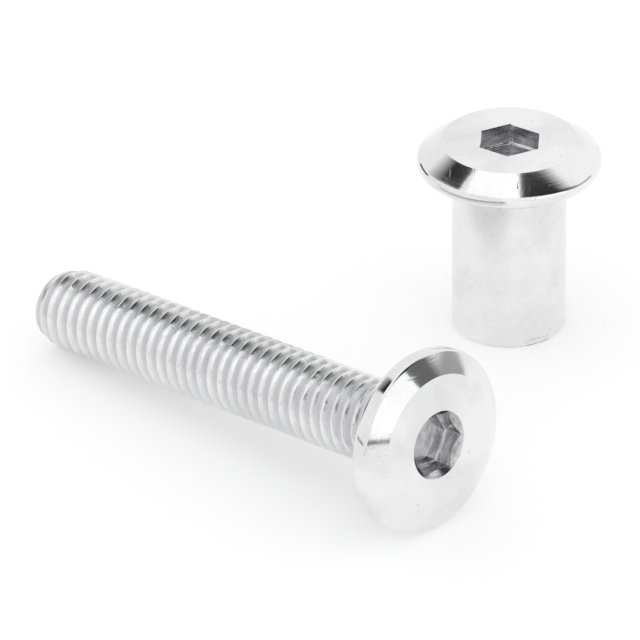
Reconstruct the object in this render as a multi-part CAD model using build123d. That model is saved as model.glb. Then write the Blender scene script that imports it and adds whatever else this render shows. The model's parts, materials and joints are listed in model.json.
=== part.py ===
from build123d import *

import os
from math import atan, cos, degrees, radians, sin, tan

# Binding barrel screw: a hex socket screw and the barrel nut that it threads into, taken apart.
# The nut stands on the open end of its barrel, and the screw lies beside it on its head's rim
# and the first crest of its thread. Millimetres, +Z up, the surface they rest on at Z = 0, and
# the origin at the centre of the nut's mouth.

# Heads: screw and nut have a low head of one size, a flat face inside a wide conical bevel
head_diameter = 13.0
head_thickness = 2.1
under_edge_radius = 0.5
screw_face_diameter = 10.0
screw_bevel_depth = 0.8
nut_face_diameter = 9.6
nut_bevel_depth = 1.2

# Hexagon sockets for one key
hex_across_flats = 4.0
socket_depth = 2.2
socket_floor_depth = 0.2
screw_lead_in_diameter = 4.85
nut_lead_in_diameter = 4.4
lead_in_angle = 45.0
floor_step_width = 0.18
floor_step_depth = 0.75

# Thread, metric and right-handed
thread_diameter = 5.9
thread_pitch = 1.0
thread_flank_angle = 60.0
thread_depth = 0.58
crest_flat = 0.11

# Screw
screw_length = 35.0
neck_step = 0.05
neck_length = 1.2
tip_diameter = 4.9
tip_taper_length = 1.6
screw_hex_turn = 26.0

# Barrel nut
barrel_diameter = 8.1
barrel_length = 12.5
mouth_chamfer = 0.2
tapped_diameter = 5.0
tapped_depth = 9.6
drill_point_angle = 118.0
countersink_diameter = 6.2
nut_hex_turn = 26.0

# Layout: centre of the screw's head beside the nut, and the way the head points
screw_head_x = -6.9
screw_head_y = -26.6
screw_heading = -44.7

# Worked out from the sizes above
head_radius = head_diameter / 2
crest_radius = thread_diameter / 2
root_radius = crest_radius - thread_depth
neck_radius = crest_radius + neck_step
barrel_radius = barrel_diameter / 2
tapped_radius = tapped_diameter / 2
ridge_sink = 0.08


def head(face_diameter, bevel_depth):
    """A head turned round its axis, its seat on Z = 0 and its face up."""
    with BuildSketch(Plane.XZ) as half_section:
        with BuildLine():
            under_edge_start = (head_radius - under_edge_radius, 0)
            under_edge_end = (head_radius, under_edge_radius)
            rim = (head_radius, head_thickness - bevel_depth)
            face_edge = (face_diameter / 2, head_thickness)
            Line((0, 0), under_edge_start)
            RadiusArc(under_edge_start, under_edge_end, -under_edge_radius)
            Polyline(under_edge_end, rim, face_edge, (0, head_thickness), (0, 0))
        make_face()
    return revolve(half_section.sketch, Axis.Z)


def hex_prism(across_flats, top, bottom):
    """A hexagonal prism between two heights, with corners on the X axis."""
    outline = RegularPolygon(across_flats / 2, 6, major_radius=False)
    return Pos(0, 0, bottom) * extrude(outline, top - bottom)


def socket(face_height, lead_in_diameter, turn):
    """What a hexagon socket takes out below a face: lead-in, hexagon, stepped floor and dish."""
    step_height = face_height - socket_depth + floor_step_depth
    floor_height = face_height - socket_depth
    wide = hex_prism(hex_across_flats, face_height, step_height)
    floor_flats = hex_across_flats - 2 * floor_step_width
    narrow = hex_prism(floor_flats, step_height, floor_height)
    lead_in_radius = lead_in_diameter / 2
    lead_in = Pos(0, 0, face_height) * Cone(
        0,
        lead_in_radius,
        lead_in_radius / tan(radians(lead_in_angle)),
        align=(Align.CENTER, Align.CENTER, Align.MAX),
    )
    dish = Pos(0, 0, floor_height) * Cone(
        0,
        floor_flats / 2,
        socket_floor_depth,
        align=(Align.CENTER, Align.CENTER, Align.MAX),
    )
    return Rot(0, 0, turn) * (wide + narrow + lead_in + dish)


def thread_ridge(start, turns):
    """One helical ridge of the thread, made turn by turn, its root sunk a little into the core."""
    rise = tan(radians(thread_flank_angle / 2))
    crest_half = crest_flat / 2
    base_half = crest_half + (thread_depth + ridge_sink) * rise
    base_radius = root_radius - ridge_sink
    section = [
        (base_radius, -base_half),
        (crest_radius, -crest_half),
        (crest_radius, crest_half),
        (base_radius, base_half),
    ]
    corners = [
        Helix(thread_pitch, thread_pitch, radius, center=(0, 0, start + height)).edge()
        for radius, height in section
    ]
    next_corners = corners[1:] + corners[:1]
    bands = [Face.make_surface_from_curves(low, high) for low, high in zip(corners, next_corners)]
    faces = [Pos(0, 0, turn * thread_pitch) * band for turn in range(turns) for band in bands]
    for end in (start, start + turns * thread_pitch):
        outline = Polyline(*[(radius, 0, end + height) for radius, height in section], close=True)
        faces.append(make_face(outline).face())
    return Solid(Shell(faces))


def tip_cutter():
    """What is turned away below the screw's end, and round the taper that leads to it."""
    tip_radius = tip_diameter / 2
    outer_radius = crest_radius + thread_pitch
    taper_rise = tip_taper_length * (outer_radius - tip_radius) / (crest_radius - tip_radius)
    bottom = -screw_length - 2 * thread_pitch
    outline = Polyline(
        (0, 0, bottom),
        (outer_radius, 0, bottom),
        (outer_radius, 0, -screw_length + taper_rise),
        (tip_radius, 0, -screw_length),
        (0, 0, -screw_length),
        close=True,
    )
    return revolve(make_face(outline), Axis.Z)


def hex_socket_screw():
    """The screw with its seat on Z = 0, its head up and its threaded shank below."""
    blank_length = screw_length + thread_pitch
    turns = int((blank_length - neck_length / 2) / thread_pitch)
    core = Cylinder(root_radius, blank_length, align=(Align.CENTER, Align.CENTER, Align.MAX))
    ridge = thread_ridge(-blank_length, turns)
    shank = core + ridge - tip_cutter()
    neck = Cylinder(neck_radius, neck_length, align=(Align.CENTER, Align.CENTER, Align.MAX))
    body = shank + neck + head(screw_face_diameter, screw_bevel_depth)
    return body - socket(head_thickness, screw_lead_in_diameter, screw_hex_turn)


def barrel_nut():
    """The nut standing on its mouth, its head up."""
    barrel = Cylinder(barrel_radius, barrel_length, align=(Align.CENTER, Align.CENTER, Align.MIN))
    barrel = chamfer(barrel.edges().sort_by(Axis.Z)[0], mouth_chamfer)
    body = barrel + Pos(0, 0, barrel_length) * head(nut_face_diameter, nut_bevel_depth)
    drill_point = tapped_radius / tan(radians(drill_point_angle / 2))
    countersink_depth = countersink_diameter / 2 - tapped_radius
    bore_section = Polyline(
        (0, 0, 0),
        (countersink_diameter / 2, 0, 0),
        (tapped_radius, 0, countersink_depth),
        (tapped_radius, 0, tapped_depth),
        (0, 0, tapped_depth + drill_point),
        close=True,
    )
    bore = revolve(make_face(bore_section), Axis.Z)
    return body - bore - socket(barrel_length + head_thickness, nut_lead_in_diameter, nut_hex_turn)


def lying_place():
    """Where the screw comes to rest: on the lower corner of its rim and its first full crest."""
    rim_corner = under_edge_radius
    first_crest = screw_length - tip_taper_length
    rest_angle = degrees(atan((head_radius - crest_radius) / (rim_corner + first_crest)))
    seat_height = head_radius * cos(radians(rest_angle)) - rim_corner * sin(radians(rest_angle))
    facing = Rot(0, 0, screw_heading) * Rot(0, 90 - rest_angle, 0)
    return Pos(screw_head_x, screw_head_y, seat_height) * facing


os.makedirs("parts", exist_ok=True)
export_step(lying_place() * hex_socket_screw(), "parts/hex_socket_screw.step")
export_step(barrel_nut(), "parts/barrel_nut.step")
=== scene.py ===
import json
from math import acos, atan2, cos, floor, pi, radians, sin, sqrt, tan

import bmesh
import bpy
from mathutils import Matrix, Vector, noise


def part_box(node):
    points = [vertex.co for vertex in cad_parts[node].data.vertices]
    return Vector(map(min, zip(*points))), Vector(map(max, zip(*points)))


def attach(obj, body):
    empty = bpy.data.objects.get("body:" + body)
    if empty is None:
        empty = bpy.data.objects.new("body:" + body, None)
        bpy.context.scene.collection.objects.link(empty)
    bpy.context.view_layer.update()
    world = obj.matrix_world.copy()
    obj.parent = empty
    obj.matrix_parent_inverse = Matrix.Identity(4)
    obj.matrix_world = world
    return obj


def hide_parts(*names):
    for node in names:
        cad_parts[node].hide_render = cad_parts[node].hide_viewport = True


# A binding barrel screw and its barrel nut in plated steel. Everything is in metres, in the
# frame of the solids. Each piece is built round its own axis, its seat at height 0 and its face
# up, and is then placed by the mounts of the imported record.

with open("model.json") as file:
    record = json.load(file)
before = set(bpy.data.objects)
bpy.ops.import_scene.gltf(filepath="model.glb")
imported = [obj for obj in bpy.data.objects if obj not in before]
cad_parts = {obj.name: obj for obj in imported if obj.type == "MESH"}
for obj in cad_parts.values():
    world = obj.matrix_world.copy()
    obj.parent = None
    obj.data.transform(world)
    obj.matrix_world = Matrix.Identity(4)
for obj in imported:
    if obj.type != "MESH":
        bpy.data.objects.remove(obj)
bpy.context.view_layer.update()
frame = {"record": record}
mounts = {mount["name"]: mount for mount in frame["record"]["mounts"]}

MM = 0.001

# Heads
under_edge_radius = 0.5 * MM
screw_face_radius = 5.0 * MM
screw_bevel_depth = 0.8 * MM
nut_face_radius = 4.8 * MM
nut_bevel_depth = 1.2 * MM
screw_bevel_foot_rounding = 0.25 * MM
nut_bevel_foot_rounding = 0.45 * MM
crisp_rounding = 0.07 * MM

# Hexagon sockets
hex_across_flats = 4.0 * MM
socket_depth = 2.2 * MM
socket_dish = 0.2 * MM
screw_lead_in_radius = 2.425 * MM
nut_lead_in_radius = 2.06 * MM
nut_socket_lip = 0.06 * MM
ledge_width = 0.18 * MM
ledge_height = 0.75 * MM
hex_turn = radians(26.0)

# Thread
thread_pitch = 1.0 * MM
thread_depth = 0.58 * MM
crest_flat = 0.11 * MM
flank_angle = radians(60.0)
thread_rounding = 0.035 * MM
tip_radius = 2.45 * MM
tip_taper_length = 1.6 * MM
neck_length = 1.2 * MM

# Nut's bore
countersink_radius = 3.1 * MM
mouth_chamfer = 0.2 * MM
tapped_depth = 9.6 * MM
nut_thread_depth = 0.5 * MM
drill_point_angle = radians(118.0)

# Chip on the rim of the nut's mouth: a narrow groove, and a rim under it that is sunk less
chip_height = 0.62 * MM
chip_step = 0.06 * MM
chip_depth = 0.14 * MM
chip_sunk_share = 0.35
chip_from = radians(-77.0)
chip_to = radians(-42.0)
chip_end_share = 1 / 8
chip_start_share = 0.35
chip_raggedness = 0.25
chip_waves = 9

# Knocks on the thread's crests
knock_depth = 0.10 * MM
knock_rarity = 0.32
knock_waves_round = 4
knock_waves_per_metre = 1500

# Plating: waves to the metre, along each own axis where three are given, and a turn in radians
stain_waves = 260
grain_waves = 4200
grit_waves = 5200
turning_waves = 5200
pit_waves = 900
pit_patch_waves = 420
hair_waves = (3200, 300, 900)
hair_turn = (0.4, 0.9, 0.6)
streak_waves = (900, 900, 2600)

# Plating: shades, painted shade for the socket's walls and the thread's valleys, and relief
dull_share = 0.80
socket_painted_shade = (0.34, 0.34, 0.35, 1)
valley_painted_shade = (0.66, 0.66, 0.67, 1)
relief_height = 0.004 * MM

# How many points a ring has round the axis: a multiple of six, so that hexagons keep corners
columns = 144

# How close points are joined, and how short an edge is dropped
weld_reach = 0.0005 * MM
shortest_edge = 0.0002 * MM


# Places and sizes read from the frame

nut_low, nut_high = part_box("barrel_nut")
head_radius = (nut_high[0] - nut_low[0]) / 2
barrel_length = mounts["nut_seat"]["pos_m"][2]
head_thickness = nut_high[2] - barrel_length
barrel_radius = mounts["nut_barrel"]["dims"]["r_mm"] * MM
tapped_radius = mounts["nut_thread"]["dims"]["r_mm"] * MM
crest_radius = mounts["screw_thread"]["dims"]["r_mm"] * MM
neck_radius = mounts["screw_neck"]["dims"]["r_mm"] * MM

screw_axis = Vector(mounts["screw_hex_socket"]["axis"])
screw_face_centre = Vector(mounts["screw_hex_socket"]["pos_m"])
screw_seat_centre = screw_face_centre - screw_axis * head_thickness
screw_tip_centre = Vector(mounts["screw_thread"]["pos_m"])
screw_length = (screw_seat_centre - screw_tip_centre).length


def screw_place():
    """Matrix from the screw's own axes to the frame, its own Y axis level."""
    across = Vector((0, 0, 1)).cross(screw_axis).normalized()
    upward = across.cross(screw_axis)
    turn = Matrix((upward, across, screw_axis)).transposed().to_4x4()
    return Matrix.Translation(screw_seat_centre) @ turn


def nut_place():
    """Matrix from the nut's own axes to the frame."""
    return Matrix.Translation((0, 0, barrel_length))


# Profiles and skins


def rounded(corners, arc_steps=5):
    """Points (radius, height) of a profile whose corners (radius, height, rounding) become arcs."""
    points = []
    for index, (radius, height, rounding) in enumerate(corners):
        corner = Vector((radius, height))
        if rounding == 0:
            points.append(corner)
            continue
        back = (Vector(corners[index - 1][:2]) - corner).normalized()
        ahead = (Vector(corners[index + 1][:2]) - corner).normalized()
        half_angle = acos(max(-1, min(1, back.dot(ahead)))) / 2
        reach = rounding / tan(half_angle)
        centre = corner + (back + ahead).normalized() * (rounding / sin(half_angle))
        start = corner + back * reach - centre
        end = corner + ahead * reach - centre
        sweep = start.angle_signed(end)
        for step in range(arc_steps + 1):
            turned = start.copy()
            turned.rotate(Matrix.Rotation(-sweep * step / arc_steps, 2))
            points.append(centre + turned)
    return points


def round_ring(radius, height):
    """A circle of points round the axis."""
    angles = (2 * pi * column / columns for column in range(columns))
    return [(radius * cos(angle), radius * sin(angle), height) for angle in angles]


def hex_radius(angle, across_flats):
    """Distance from the axis to a hexagon's side, seen at an angle from one of its corners."""
    off_flat = (angle - hex_turn) % (pi / 3) - pi / 6
    return across_flats / 2 / cos(off_flat)


def socket_rings(face_height, lead_in_radius, lip):
    """Rings from the edge of the flat face down the lead-in, the stepped walls and the floor.

    The lead-in is a cone, or where the hexagon reaches past that, a lip of the given width."""

    def ring(place_of):
        points = []
        for column in range(columns):
            angle = 2 * pi * column / columns + hex_turn
            radius, height = place_of(angle)
            points.append((radius * cos(angle), radius * sin(angle), height))
        return points

    def wall(angle):
        return hex_radius(angle, hex_across_flats)

    def lead_in(angle, share):
        outer = max(lead_in_radius, wall(angle) + lip)
        radius = outer + (wall(angle) - outer) * share
        return radius, face_height - (outer - wall(angle)) * share

    floor_height = face_height - socket_depth
    ledge = floor_height + ledge_height
    narrow = hex_across_flats - 2 * ledge_width
    edge = crisp_rounding / 2
    lead_in_depth = max(lead_in_radius - hex_across_flats / 2, lip)
    rings = [
        ring(lambda angle: (lead_in(angle, 0)[0] + crisp_rounding, face_height)),
        ring(lambda angle: lead_in(angle, 0)),
        ring(lambda angle: lead_in(angle, 0.15)),
        ring(lambda angle: lead_in(angle, 0.85)),
        ring(lambda angle: lead_in(angle, 1)),
    ]
    wall_top = face_height - lead_in_depth * 1.15
    for height in (wall_top, (wall_top + ledge) / 2, ledge + edge):
        rings.append(ring(lambda angle: (wall(angle), height)))
    for inset in (edge, ledge_width - edge):
        rings.append(ring(lambda angle: (wall(angle) - inset, ledge)))
    for height in (ledge - edge, (ledge + floor_height) / 2, floor_height):
        rings.append(ring(lambda angle: (hex_radius(angle, narrow), height)))
    for share in (0.97, 0.6, 0.25):
        depth = socket_dish * (1 - share)
        rings.append(ring(lambda angle: (hex_radius(angle, narrow) * share, floor_height - depth)))
    return rings


def skin(rings, closed_start=False, closed_end=False):
    """Vertices and faces of a surface through rings of equal count, its ends fanned shut."""
    vertices = [point for ring in rings for point in ring]
    count = len(rings[0])
    faces = []
    for row in range(len(rings) - 1):
        for column in range(count):
            after = (column + 1) % count
            low, high = row * count, (row + 1) * count
            faces.append((low + column, low + after, high + after, high + column))
    for closed, row in ((closed_start, 0), (closed_end, len(rings) - 1)):
        if closed:
            middle = sum((Vector(point) for point in rings[row]), Vector()) / count
            vertices.append(tuple(middle))
            hub = len(vertices) - 1
            for column in range(count):
                rim = (row * count + column, row * count + (column + 1) % count)
                faces.append((*rim, hub) if row else (*reversed(rim), hub))
    return vertices, faces


def thread_wave(offset, depth):
    """How far below its crest a thread lies, for a distance along the axis from the crest."""
    offset = abs((offset / thread_pitch + 0.5) % 1.0 - 0.5) * thread_pitch
    slope = 1 / tan(flank_angle / 2)
    raw = (offset - crest_flat / 2) * slope
    soft = thread_rounding
    fallen = (raw + sqrt(raw * raw + soft * soft)) / 2
    left = depth - fallen
    return depth - (left + sqrt(left * left + soft * soft)) / 2


def thread_rows(depth):
    """Offsets from a crest, over one pitch, at which a threaded skin has its rows."""
    flat = crest_flat / 2
    foot = flat + depth * tan(flank_angle / 2)
    soft = thread_rounding
    half = [flat - soft / 2, flat + soft, (flat + foot) / 2, foot - soft, foot + soft]
    return [-offset for offset in reversed(half)] + [0.0] + half + [thread_pitch / 2]


def threaded_skin(bottom, top, radius_at, depth):
    """A surface between two heights whose rows climb with a right-hand thread.

    radius_at(height, angle, wave) gives the radius where the thread lies wave below its crest."""
    rows = thread_rows(depth)
    first_turn = floor(bottom / thread_pitch) - 2
    last_turn = floor(top / thread_pitch) + 2
    offsets = [turn * thread_pitch + row for turn in range(first_turn, last_turn) for row in rows]
    vertices = []
    for column in range(columns + 1):
        angle = 2 * pi * column / columns
        climb = thread_pitch * column / columns
        for offset in offsets:
            height = min(max(offset + climb, bottom), top)
            wave = thread_wave(height - climb, depth)
            radius = radius_at(height, angle, wave)
            vertices.append((radius * cos(angle), radius * sin(angle), height))
    faces = []
    count = len(offsets)
    for column in range(columns):
        for row in range(count - 1):
            here, there = column * count + row, (column + 1) * count + row
            faces.append((here, there, there + 1, here + 1))
    return vertices, faces


def weld(mesh):
    """Joins points that coincide, drops what that leaves flat, and turns faces outward."""
    work = bmesh.new()
    work.from_mesh(mesh)
    bmesh.ops.remove_doubles(work, verts=work.verts, dist=weld_reach)
    bmesh.ops.dissolve_degenerate(work, edges=work.edges, dist=shortest_edge)
    bmesh.ops.recalc_face_normals(work, faces=work.faces)
    work.to_mesh(mesh)
    work.free()


def piece(name, skins, place, material):
    """One object from several skins, welded, smooth except at sharp edges.

    The mesh is moved into the frame, and the attribute own_place keeps each point's first place."""
    vertices, faces = [], []
    for skin_vertices, skin_faces in skins:
        base = len(vertices)
        vertices.extend(skin_vertices)
        faces.extend(tuple(base + index for index in face) for face in skin_faces)
    mesh = bpy.data.meshes.new(name)
    mesh.from_pydata(vertices, [], faces)
    weld(mesh)
    kept = mesh.attributes.new("own_place", "FLOAT_VECTOR", "POINT")
    kept.data.foreach_set("vector", [value for vertex in mesh.vertices for value in vertex.co])
    mesh.transform(place)
    made = bpy.data.objects.new(name, mesh)
    bpy.context.scene.collection.objects.link(made)
    mesh.shade_smooth()
    mesh.set_sharp_from_angle(angle=radians(40))
    weighting = made.modifiers.new("Weighted normals", "WEIGHTED_NORMAL")
    weighting.keep_sharp = True
    made.data.materials.append(material)
    return made


# Materials


def node(tree, kind, links=(), **settings):
    """A shader node with its settings and the links into its inputs."""
    made = tree.nodes.new(kind)
    for name, value in settings.items():
        setattr(made, name, value)
    for socket, source in dict(links).items():
        if hasattr(source, "node"):
            tree.links.new(source, made.inputs[socket])
        else:
            made.inputs[socket].default_value = source
    return made


def spread(tree, value, low, high, to_low, to_high):
    """value's range low..high spread over to_low..to_high, and held there outside it."""
    made = node(tree, "ShaderNodeMapRange", {"Value": value})
    made.inputs["From Min"].default_value = low
    made.inputs["From Max"].default_value = high
    made.inputs["To Min"].default_value = to_low
    made.inputs["To Max"].default_value = to_high
    return made.outputs["Result"]


def reckon(tree, operation, first, second=0.0):
    """The result of one operation on one or two values."""
    made = node(tree, "ShaderNodeMath", operation=operation)
    for index, source in enumerate((first, second)):
        if hasattr(source, "node"):
            tree.links.new(source, made.inputs[index])
        else:
            made.inputs[index].default_value = source
    return made.outputs["Value"]


def noise_texture(tree, vector, per_metre, detail=3.0, roughness=0.5):
    """Noise with this many waves to the metre."""
    links = {"Vector": vector, "Scale": per_metre, "Detail": detail, "Roughness": roughness}
    return node(tree, "ShaderNodeTexNoise", links).outputs["Fac"]


def stretched_noise(tree, vector, waves, turn=(0, 0, 0), detail=1, roughness=0.5):
    """Noise with its own number of waves to the metre along each axis, and turned."""
    links = {"Vector": vector, "Scale": waves, "Rotation": turn}
    stretched = node(tree, "ShaderNodeMapping", links).outputs["Vector"]
    return noise_texture(tree, stretched, 1.0, detail, roughness)


def plus(tree, value, other, weight):
    """value and other times weight."""
    return reckon(tree, "ADD", value, reckon(tree, "MULTIPLY", other, weight))


def times(tree, *values):
    """The product of several values."""
    product = values[0]
    for value in values[1:]:
        product = reckon(tree, "MULTIPLY", product, value)
    return product


def mixed(tree, share, first, second):
    """The first colour turning into the second as the share goes from 0 to 1."""
    made = node(tree, "ShaderNodeMix", {0: share, 6: first, 7: second}, data_type="RGBA")
    return made.outputs[2]


def own_axes(tree):
    """A point's place on its piece's own axes, its distance from the axis and its height."""
    own = node(tree, "ShaderNodeAttribute", attribute_name="own_place").outputs["Vector"]
    axes = node(tree, "ShaderNodeSeparateXYZ", {"Vector": own})
    flat = node(tree, "ShaderNodeCombineXYZ", {"X": axes.outputs["X"], "Y": axes.outputs["Y"]})
    radius = node(tree, "ShaderNodeVectorMath", {"Vector": flat.outputs[0]}, operation="LENGTH")
    return own, radius.outputs["Value"], axes.outputs["Z"]


def pitted(tree, own):
    """1 in small pits, which lie in rare patches, otherwise 0."""
    cells = node(tree, "ShaderNodeTexVoronoi", {"Vector": own, "Scale": pit_waves})
    pits = spread(tree, cells.outputs["Distance"], 0.05, 0.12, 1.0, 0.0)
    patches = noise_texture(tree, own, pit_patch_waves, detail=1)
    return times(tree, pits, spread(tree, patches, 0.55, 0.60, 0.0, 1.0))


def scratched(tree, own):
    """1 on hair scratches, otherwise 0."""
    hairs = stretched_noise(tree, own, hair_waves, hair_turn)
    return spread(tree, hairs, 0.68, 0.74, 0.0, 1.0)


def darkened_socket_walls(tree, own, radius, height, axis, darkened_radius, darkened_slope):
    """Painted shade on the socket's walls, in streaks like a duller broached finish: up to 1 there,
    otherwise 0.
    """
    flat_normal = node(tree, "ShaderNodeNewGeometry").outputs["True Normal"]
    links = {0: flat_normal, 1: tuple(axis)}
    facing = node(tree, "ShaderNodeVectorMath", links, operation="DOT_PRODUCT").outputs["Value"]
    facing = reckon(tree, "ABSOLUTE", facing)
    steep = spread(tree, facing, darkened_slope, darkened_slope + 0.15, 1.0, 0.0)
    inside = spread(tree, radius, darkened_radius - 0.03 * MM, darkened_radius, 1.0, 0.0)
    in_head = spread(tree, height, -0.3 * MM, -0.2 * MM, 0.0, 1.0)
    streaks = stretched_noise(tree, own, streak_waves, detail=3, roughness=0.7)
    streaks = spread(tree, streaks, 0.35, 0.65, 0.3, 1.0)
    return times(tree, steep, inside, in_head, streaks)


def threaded_shaft(tree, radius, height, root_radius):
    """1 on the screw's threaded shaft; and a mask for painted shade, 1 at the thread's root but 0 at
    its crests and its tip's face.
    """
    shaft = spread(tree, height, -neck_length, -neck_length * 0.9, 1.0, 0.0)
    valley_shade_mask = spread(tree, radius, root_radius, root_radius + 0.5 * MM, 1.0, 0.0)
    off_tip = spread(tree, radius, root_radius - 0.10 * MM, root_radius - 0.03 * MM, 0.0, 1.0)
    return shaft, times(tree, valley_shade_mask, shaft, off_tip)


def plated_steel(name, axis, tone, turning, darkened_radius, darkened_slope, root_radius=None):
    """Bright plating: soft stains, fine turning marks round the axis, pits and hair scratches.

    Inside the given radius, surfaces whose normal lies less than the given slope along the axis are
    the socket's walls: painted shade darkens them, in streaks like a duller broached finish, and they
    are rougher. A root_radius is given for the screw, whose shaft is grittier and whose thread is
    rougher and has painted shade, darker towards that radius."""
    material = bpy.data.materials.new(name)
    material.use_nodes = True
    tree = material.node_tree
    shader = tree.nodes["Principled BSDF"]
    shader.inputs["Metallic"].default_value = 1.0

    own, radius, height = own_axes(tree)
    lathe = node(tree, "ShaderNodeCombineXYZ", {"X": radius, "Z": height}).outputs[0]
    stains = noise_texture(tree, own, stain_waves, detail=4)
    grain = noise_texture(tree, own, grain_waves, detail=2)
    marks = noise_texture(tree, lathe, turning_waves, detail=3, roughness=0.7)
    pits = pitted(tree, own)
    hairs = scratched(tree, own)
    wall_darkening = darkened_socket_walls(tree, own, radius, height, axis, darkened_radius, darkened_slope)

    bright = (tone, tone, tone * 1.005, 1)
    dull = (tone * dull_share, tone * dull_share, tone * (dull_share + 0.01), 1)
    clean = spread(tree, stains, 0.30, 0.62, 0.25, 1.0)
    clean = reckon(tree, "SUBTRACT", clean, pits)
    clean = reckon(tree, "SUBTRACT", clean, spread(tree, grain, 0.45, 0.75, 0.0, 0.25))
    colour = mixed(tree, clean, dull, bright)
    # Painted shade: the socket's walls are darkened as if shaded in the recess, streaked like a duller
    # broached finish.
    colour = mixed(tree, wall_darkening, colour, socket_painted_shade)

    roughness = spread(tree, stains, 0.35, 0.70, 0.05, 0.12)
    roughness = plus(tree, roughness, grain, 0.05)
    roughness = plus(tree, roughness, hairs, 0.10)
    roughness = plus(tree, roughness, wall_darkening, 0.15)

    relief = reckon(tree, "MULTIPLY", marks, turning)
    relief = plus(tree, relief, grain, 0.35)
    relief = plus(tree, relief, pits, -2.5)
    relief = plus(tree, relief, hairs, -0.6)

    if root_radius:
        shaft, valley_shade_mask = threaded_shaft(tree, radius, height, root_radius)
        # Painted shade: the thread's valleys are darkened where shade falls between the crests.
        colour = mixed(tree, valley_shade_mask, colour, valley_painted_shade)
        roughness = plus(tree, roughness, valley_shade_mask, 0.20)
        roughness = plus(tree, roughness, shaft, 0.06)
        grit = noise_texture(tree, own, grit_waves, detail=2)
        relief = plus(tree, relief, times(tree, grit, shaft), 2.4)

    tree.links.new(colour, shader.inputs["Base Color"])
    tree.links.new(roughness, shader.inputs["Roughness"])
    bump = node(tree, "ShaderNodeBump", {"Height": relief, "Strength": 1.0, "Distance": relief_height})
    tree.links.new(bump.outputs["Normal"], shader.inputs["Normal"])
    return material


# The pieces


def head_corners(stem_radius, face_radius, bevel_depth, foot_rounding):
    """Corners of a head from its stem out under the seat and up to the flat face."""
    return [
        (stem_radius, 0, 0),
        (head_radius, 0, under_edge_radius),
        (head_radius, head_thickness - bevel_depth, foot_rounding),
        (face_radius, head_thickness, crisp_rounding),
        (face_radius * 0.9, head_thickness, 0),
    ]


def turned_rings(profile):
    """Rings of a turned surface through a profile's points."""
    return [round_ring(radius, height) for radius, height in profile]


def shank_radius(height, angle, wave):
    """Radius of the screw's shank: thread with knocked crests, and a tip that tapers."""
    from_tip = height + screw_length
    taper = tip_radius + (crest_radius - tip_radius) * from_tip / tip_taper_length
    round_x, round_y = knock_waves_round * cos(angle), knock_waves_round * sin(angle)
    knock = noise.noise(Vector((round_x, round_y, height * knock_waves_per_metre)))
    crest = crest_radius - max(0.0, knock - knock_rarity) * knock_depth
    return min(crest - wave, taper)


def shank_end(height):
    """A skin that closes the shank at one end, across its cut thread."""
    ends = []
    for share in (1.0, 0.5):
        ring = []
        for column in range(columns):
            angle = 2 * pi * column / columns
            wave = thread_wave(height - thread_pitch * column / columns, thread_depth)
            radius = shank_radius(height, angle, wave) * share
            ring.append((radius * cos(angle), radius * sin(angle), height))
        ends.append(ring)
    return skin(ends, False, True)


def hex_socket_screw():
    """The screw: neck, head and socket in one skin, and the threaded shank with its tip."""
    root_radius = crest_radius - thread_depth
    neck = [
        (root_radius * 0.8, -neck_length, 0),
        (neck_radius, -neck_length, crisp_rounding),
    ]
    corners = neck + head_corners(
        neck_radius, screw_face_radius, screw_bevel_depth, screw_bevel_foot_rounding
    )
    rings = turned_rings(rounded(corners))
    rings += socket_rings(head_thickness, screw_lead_in_radius, crisp_rounding / 2)

    shank_top = -neck_length * 0.8
    shank = threaded_skin(-screw_length, shank_top, shank_radius, thread_depth)
    material = plated_steel(
        "screw plating",
        axis=screw_axis,
        tone=0.87,
        turning=0.5,
        # Painted shade darkens the socket's walls inside this radius, where the normal lies less than
        # this slope along the axis.
        darkened_radius=2.44 * MM,
        darkened_slope=0.75,
        root_radius=root_radius,
    )
    screw = piece(
        "screw_in_plated_steel",
        [skin(rings, True, True), shank, shank_end(-screw_length), shank_end(shank_top)],
        screw_place(),
        material,
    )
    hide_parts("hex_socket_screw")
    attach(screw, "root")


def chipped(ring, mouth):
    """A ring of the barrel, pressed in at and under a ragged groove where its rim is chipped."""
    moved = []
    for x, y, z in ring:
        along = (atan2(y, x) - chip_from) / (chip_to - chip_from)
        on_wall = x * x + y * y > (0.9 * barrel_radius) ** 2
        in_chip = 0 < along < 1 and mouth < z < mouth + chip_height + weld_reach
        if not (in_chip and on_wall):
            moved.append((x, y, z))
            continue
        ragged = noise.noise(Vector((along * chip_waves, 1.5, 0)))
        window = min(1.0, along / chip_end_share, (1 - along) / chip_end_share)
        below_top = mouth + chip_height - z
        inward = 0.0 if below_top < chip_step / 2 else chip_depth * chip_sunk_share
        if chip_step / 2 < below_top < chip_step * 1.5:
            inward = chip_depth
        rise = min(1.0, chip_start_share + 3 * along) + chip_raggedness * ragged
        pull = 1 - window * inward / barrel_radius
        moved.append((x * pull, y * pull, mouth + (z - mouth) * (1 + (rise - 1) * window)))
    return moved


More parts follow.
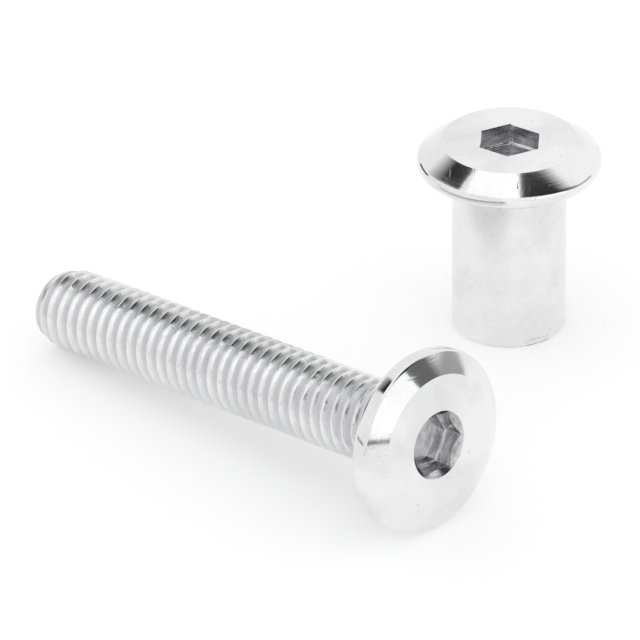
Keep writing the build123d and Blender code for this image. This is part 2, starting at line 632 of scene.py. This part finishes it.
def barrel_nut():
    """The nut: head, socket and barrel in one skin, and the threaded bore with its drill point."""
    mouth = -barrel_length
    countersink_height = mouth + countersink_radius - tapped_radius
    corners = [
        (tapped_radius, countersink_height, 0),
        (countersink_radius, mouth, crisp_rounding / 2),
        (barrel_radius - mouth_chamfer, mouth, crisp_rounding / 2),
        (barrel_radius, mouth + mouth_chamfer, crisp_rounding),
        (barrel_radius, mouth + chip_height - 2 * chip_step, 0),
        (barrel_radius, mouth + chip_height - chip_step, 0),
        (barrel_radius, mouth + chip_height, 0),
    ]
    corners += head_corners(
        barrel_radius, nut_face_radius, nut_bevel_depth, nut_bevel_foot_rounding
    )
    rings = [chipped(ring, mouth) for ring in turned_rings(rounded(corners))]
    rings += socket_rings(head_thickness, nut_lead_in_radius, nut_socket_lip)
    bore_end = mouth + tapped_depth

    def bore_radius(height, angle, wave):
        at_end = height <= countersink_height or height >= bore_end
        return tapped_radius if at_end else tapped_radius + nut_thread_depth - wave

    bore = threaded_skin(countersink_height, bore_end, bore_radius, nut_thread_depth)
    drill_point = tapped_radius / tan(drill_point_angle / 2)
    share = 0.95
    cone = [(tapped_radius, bore_end), (tapped_radius * (1 - share), bore_end + drill_point * share)]
    material = plated_steel(
        "nut plating",
        axis=(0, 0, 1),
        tone=0.88,
        turning=1.0,
        # Painted shade darkens the socket's walls inside this radius, where the normal lies less than
        # this slope along the axis.
        darkened_radius=2.34 * MM,
        darkened_slope=0.2,
    )
    nut = piece(
        "nut_in_plated_steel",
        [skin(rings, False, True), bore, skin(turned_rings(cone), False, True)],
        nut_place(),
        material,
    )
    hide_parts("barrel_nut")
    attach(nut, "root")


# Studio: pale floor, soft boxes, and dark cards that only the metal sees


def towards(azimuth, elevation):
    """Unit vector from the object: azimuth 0 is straight behind it, 90 is to its right."""
    a, e = radians(azimuth), radians(elevation)
    return Vector((sin(a) * cos(e), cos(a) * cos(e), sin(e)))


def only_glossy(thing):
    """Hides a thing from everything except reflections."""
    thing.visible_camera = False
    thing.visible_diffuse = False
    thing.visible_transmission = False
    thing.visible_volume_scatter = False
    thing.visible_shadow = False


def plain_sheet(name, corners, material):
    """A flat four-cornered sheet for the studio."""
    mesh = bpy.data.meshes.new(name)
    mesh.from_pydata(corners, [], [(0, 1, 2, 3)])
    layer = mesh.uv_layers.new(name="sheet")
    for loop, place in enumerate(((0, 0), (1, 0), (1, 1), (0, 1))):
        layer.data[loop].uv = place
    made = bpy.data.objects.new(name, mesh)
    bpy.context.scene.collection.objects.link(made)
    made.data.materials.append(material)
    return made


def bare_material(name):
    """A material without nodes, and its node tree."""
    material = bpy.data.materials.new(name)
    material.use_nodes = True
    material.node_tree.nodes.clear()
    return material, material.node_tree


def card_material(name, shade, fade_across, fade_along):
    """A plain glow of one shade, fading to clear over shares of the card at its four edges."""
    material, tree = bare_material(name)
    place = node(tree, "ShaderNodeTexCoord").outputs["UV"]
    axes = node(tree, "ShaderNodeSeparateXYZ", {"Vector": place})
    edges = []
    for axis, (near, far) in (("X", fade_across), ("Y", fade_along)):
        edges.append(spread(tree, axes.outputs[axis], 0.0, near, 0.0, 1.0))
        edges.append(spread(tree, axes.outputs[axis], 1.0 - far, 1.0, 1.0, 0.0))
    clear = node(tree, "ShaderNodeBsdfTransparent").outputs[0]
    glow = node(tree, "ShaderNodeEmission", {"Color": (shade, shade, shade, 1), "Strength": 1.0})
    mix = node(tree, "ShaderNodeMixShader", {0: times(tree, *edges), 1: clear, 2: glow.outputs[0]})
    node(tree, "ShaderNodeOutputMaterial", {"Surface": mix.outputs[0]})
    return material


def card(name, start, end, width, shade, fade_across, fade_along, distance=0.6):
    """A card from one direction to another, facing the object and seen only in reflections."""
    low, high = towards(*start) * distance, towards(*end) * distance
    along = (high - low).normalized()
    facing = -(low + high).normalized()
    facing = (facing - along * facing.dot(along)).normalized()
    side = along.cross(facing) * width / 2
    corners = [low - side, low + side, high + side, high - side]
    made = plain_sheet(name, corners, card_material(name, shade, fade_across, fade_along))
    only_glossy(made)


def seen_directly(tree):
    """1 for rays from the camera and for reflected or transmitted ones, otherwise 0."""
    path = node(tree, "ShaderNodeLightPath")
    seen = reckon(tree, "MAXIMUM", path.outputs["Is Camera Ray"], path.outputs["Is Glossy Ray"])
    return reckon(tree, "MAXIMUM", seen, path.outputs["Is Transmission Ray"])


def studio_floor():
    """A pale matt floor at Z = 0 that renders near white and keeps the shadows."""
    size, lift_strength = 1.2, 0.30
    material, tree = bare_material("studio floor")
    matt = node(tree, "ShaderNodeBsdfDiffuse", {"Color": (0.92, 0.92, 0.92, 1)}).outputs[0]
    lift = reckon(tree, "MULTIPLY", seen_directly(tree), lift_strength)
    glow = node(tree, "ShaderNodeEmission", {"Color": (1, 1, 1, 1), "Strength": lift}).outputs[0]
    both = node(tree, "ShaderNodeAddShader", {0: matt, 1: glow})
    node(tree, "ShaderNodeOutputMaterial", {"Surface": both.outputs[0]})
    corners = [(-size, -size, 0), (size, -size, 0), (size, size, 0), (-size, size, 0)]
    plain_sheet("studio_floor", corners, material)


def studio_world():
    """White surroundings, three quarters as bright as light as they look."""
    world = bpy.data.worlds.new("studio")
    bpy.context.scene.world = world
    world.use_nodes = True
    tree = world.node_tree
    light = tree.nodes["Background"]
    light.inputs["Color"].default_value = (1, 1, 1, 1)
    strength = spread(tree, seen_directly(tree), 0.0, 1.0, 0.75, 1.0)
    tree.links.new(strength, light.inputs["Strength"])


def soft_box(name, direction, distance, size, radiance):
    """A rectangular area lamp that faces the object, of a given radiance."""
    lamp = bpy.data.lights.new(name, "AREA")
    lamp.shape = "RECTANGLE"
    lamp.size, lamp.size_y = size
    lamp.energy = radiance * pi * size[0] * size[1]
    made = bpy.data.objects.new(name, lamp)
    bpy.context.scene.collection.objects.link(made)
    made.location = towards(*direction) * distance
    made.rotation_mode = "QUATERNION"
    made.rotation_quaternion = towards(*direction).to_track_quat("Z", "Y")


def camera():
    """A long lens from the front, above the pieces."""
    elevation, roll = radians(30.25), radians(-0.474)
    distance, view_width, aim_left = 0.577, 0.04541, 0.01338
    film_width = 36
    forward = Vector((0, cos(elevation), -sin(elevation)))
    level = Vector((1, 0, 0))
    upward = level.cross(forward)
    right = level * cos(roll) + upward * sin(roll)
    top = upward * cos(roll) - level * sin(roll)
    data = bpy.data.cameras.new("camera")
    data.sensor_width = film_width
    data.lens = film_width * distance / view_width
    data.clip_start, data.clip_end = 0.01, 10
    made = bpy.data.objects.new("camera", data)
    bpy.context.scene.collection.objects.link(made)
    turn = Matrix((right, top, -forward)).transposed().to_4x4()
    made.matrix_world = Matrix.Translation(-forward * distance - right * aim_left) @ turn
    bpy.context.scene.camera = made


camera()
hex_socket_screw()
barrel_nut()
studio_floor()
studio_world()

# Directions are (azimuth, elevation) in degrees. The cards darken what the bevels, the rims and
# the barrel mirror, where the photo shows them dark.
soft_box("overhead_box", (-135, 80), distance=0.7, size=(0.5, 0.5), radiance=0.25)
soft_box("right_box", (129, 19), distance=0.8, size=(0.66, 0.52), radiance=0.25)

card(
    "right_card",
    start=(98, 38),
    end=(137, 79),
    width=0.33,
    shade=0.03,
    fade_across=(0.30, 0.03),
    fade_along=(0.1, 0.03),
)
card(
    "right_card_foot",
    start=(96, 15),
    end=(103, 44),
    width=0.26,
    shade=0.16,
    fade_across=(0.35, 0.03),
    fade_along=(0.1, 0.1),
    distance=0.62,
)
card(
    "side_card",
    start=(85, 0.6),
    end=(85, 24),
    width=0.47,
    shade=0.40,
    fade_across=(0.12, 0.15),
    fade_along=(0.05, 0.3),
    distance=0.66,
)
card(
    "left_card",
    start=(-84, 60),
    end=(-46, 30),
    width=0.17,
    shade=0.03,
    fade_across=(0.15, 0.15),
    fade_along=(0.05, 0.5),
)
card(
    "low_card",
    start=(125, 1.5),
    end=(163, 1.5),
    width=0.04,
    shade=0.15,
    fade_across=(0.3, 0.3),
    fade_along=(0.1, 0.1),
)
card(
    "front_horizon",
    start=(162, 1),
    end=(-150, 1),
    width=0.02,
    shade=0.20,
    fade_across=(0.4, 0.4),
    fade_along=(0.1, 0.1),
)
card(
    "rear_card",
    start=(-66, 7),
    end=(-41, 7),
    width=0.22,
    shade=0.05,
    fade_across=(0.15, 0.15),
    fade_along=(0.1, 0.1),
)
card(
    "left_horizon",
    start=(-106, 2),
    end=(-80, 2),
    width=0.04,
    shade=0.25,
    fade_across=(0.4, 0.4),
    fade_along=(0.2, 0.2),
)

bpy.context.scene.view_settings.view_transform = "Standard"
